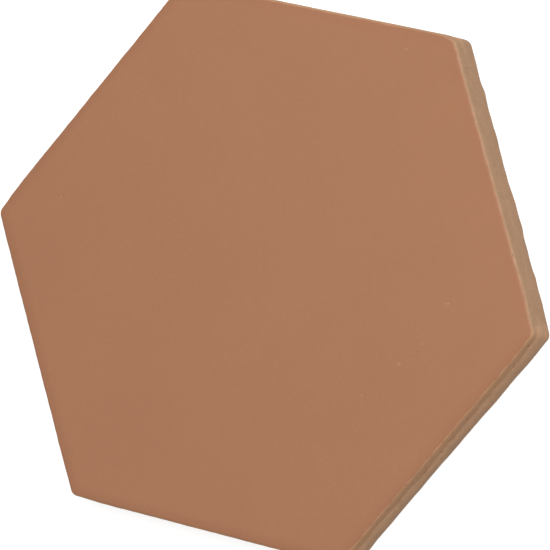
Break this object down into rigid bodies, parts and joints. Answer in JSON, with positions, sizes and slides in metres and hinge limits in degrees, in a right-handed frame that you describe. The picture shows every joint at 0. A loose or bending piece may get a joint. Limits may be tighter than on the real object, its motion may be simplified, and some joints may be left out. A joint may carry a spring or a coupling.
{
  "type": "hexagon tile",
  "caption": "Regular hexagon floor and wall tile of glazed stoneware, with a flat face that rolls over at its edges, a stepped edge and a grooved back for adhesive.",
  "frame": {"origin": "middle of the back, in the plane that the back's ribs and rim lie in", "axes": "+Z out of the face, +X towards a corner, +Y square to a side"},
  "size_m": [0.116, 0.101, 0.0083],
  "materials": {
    "tile": "matte"
  },
  "bodies": {
    "root": {"hexagon_tile": "tile"}
  },
  "joints": []
}
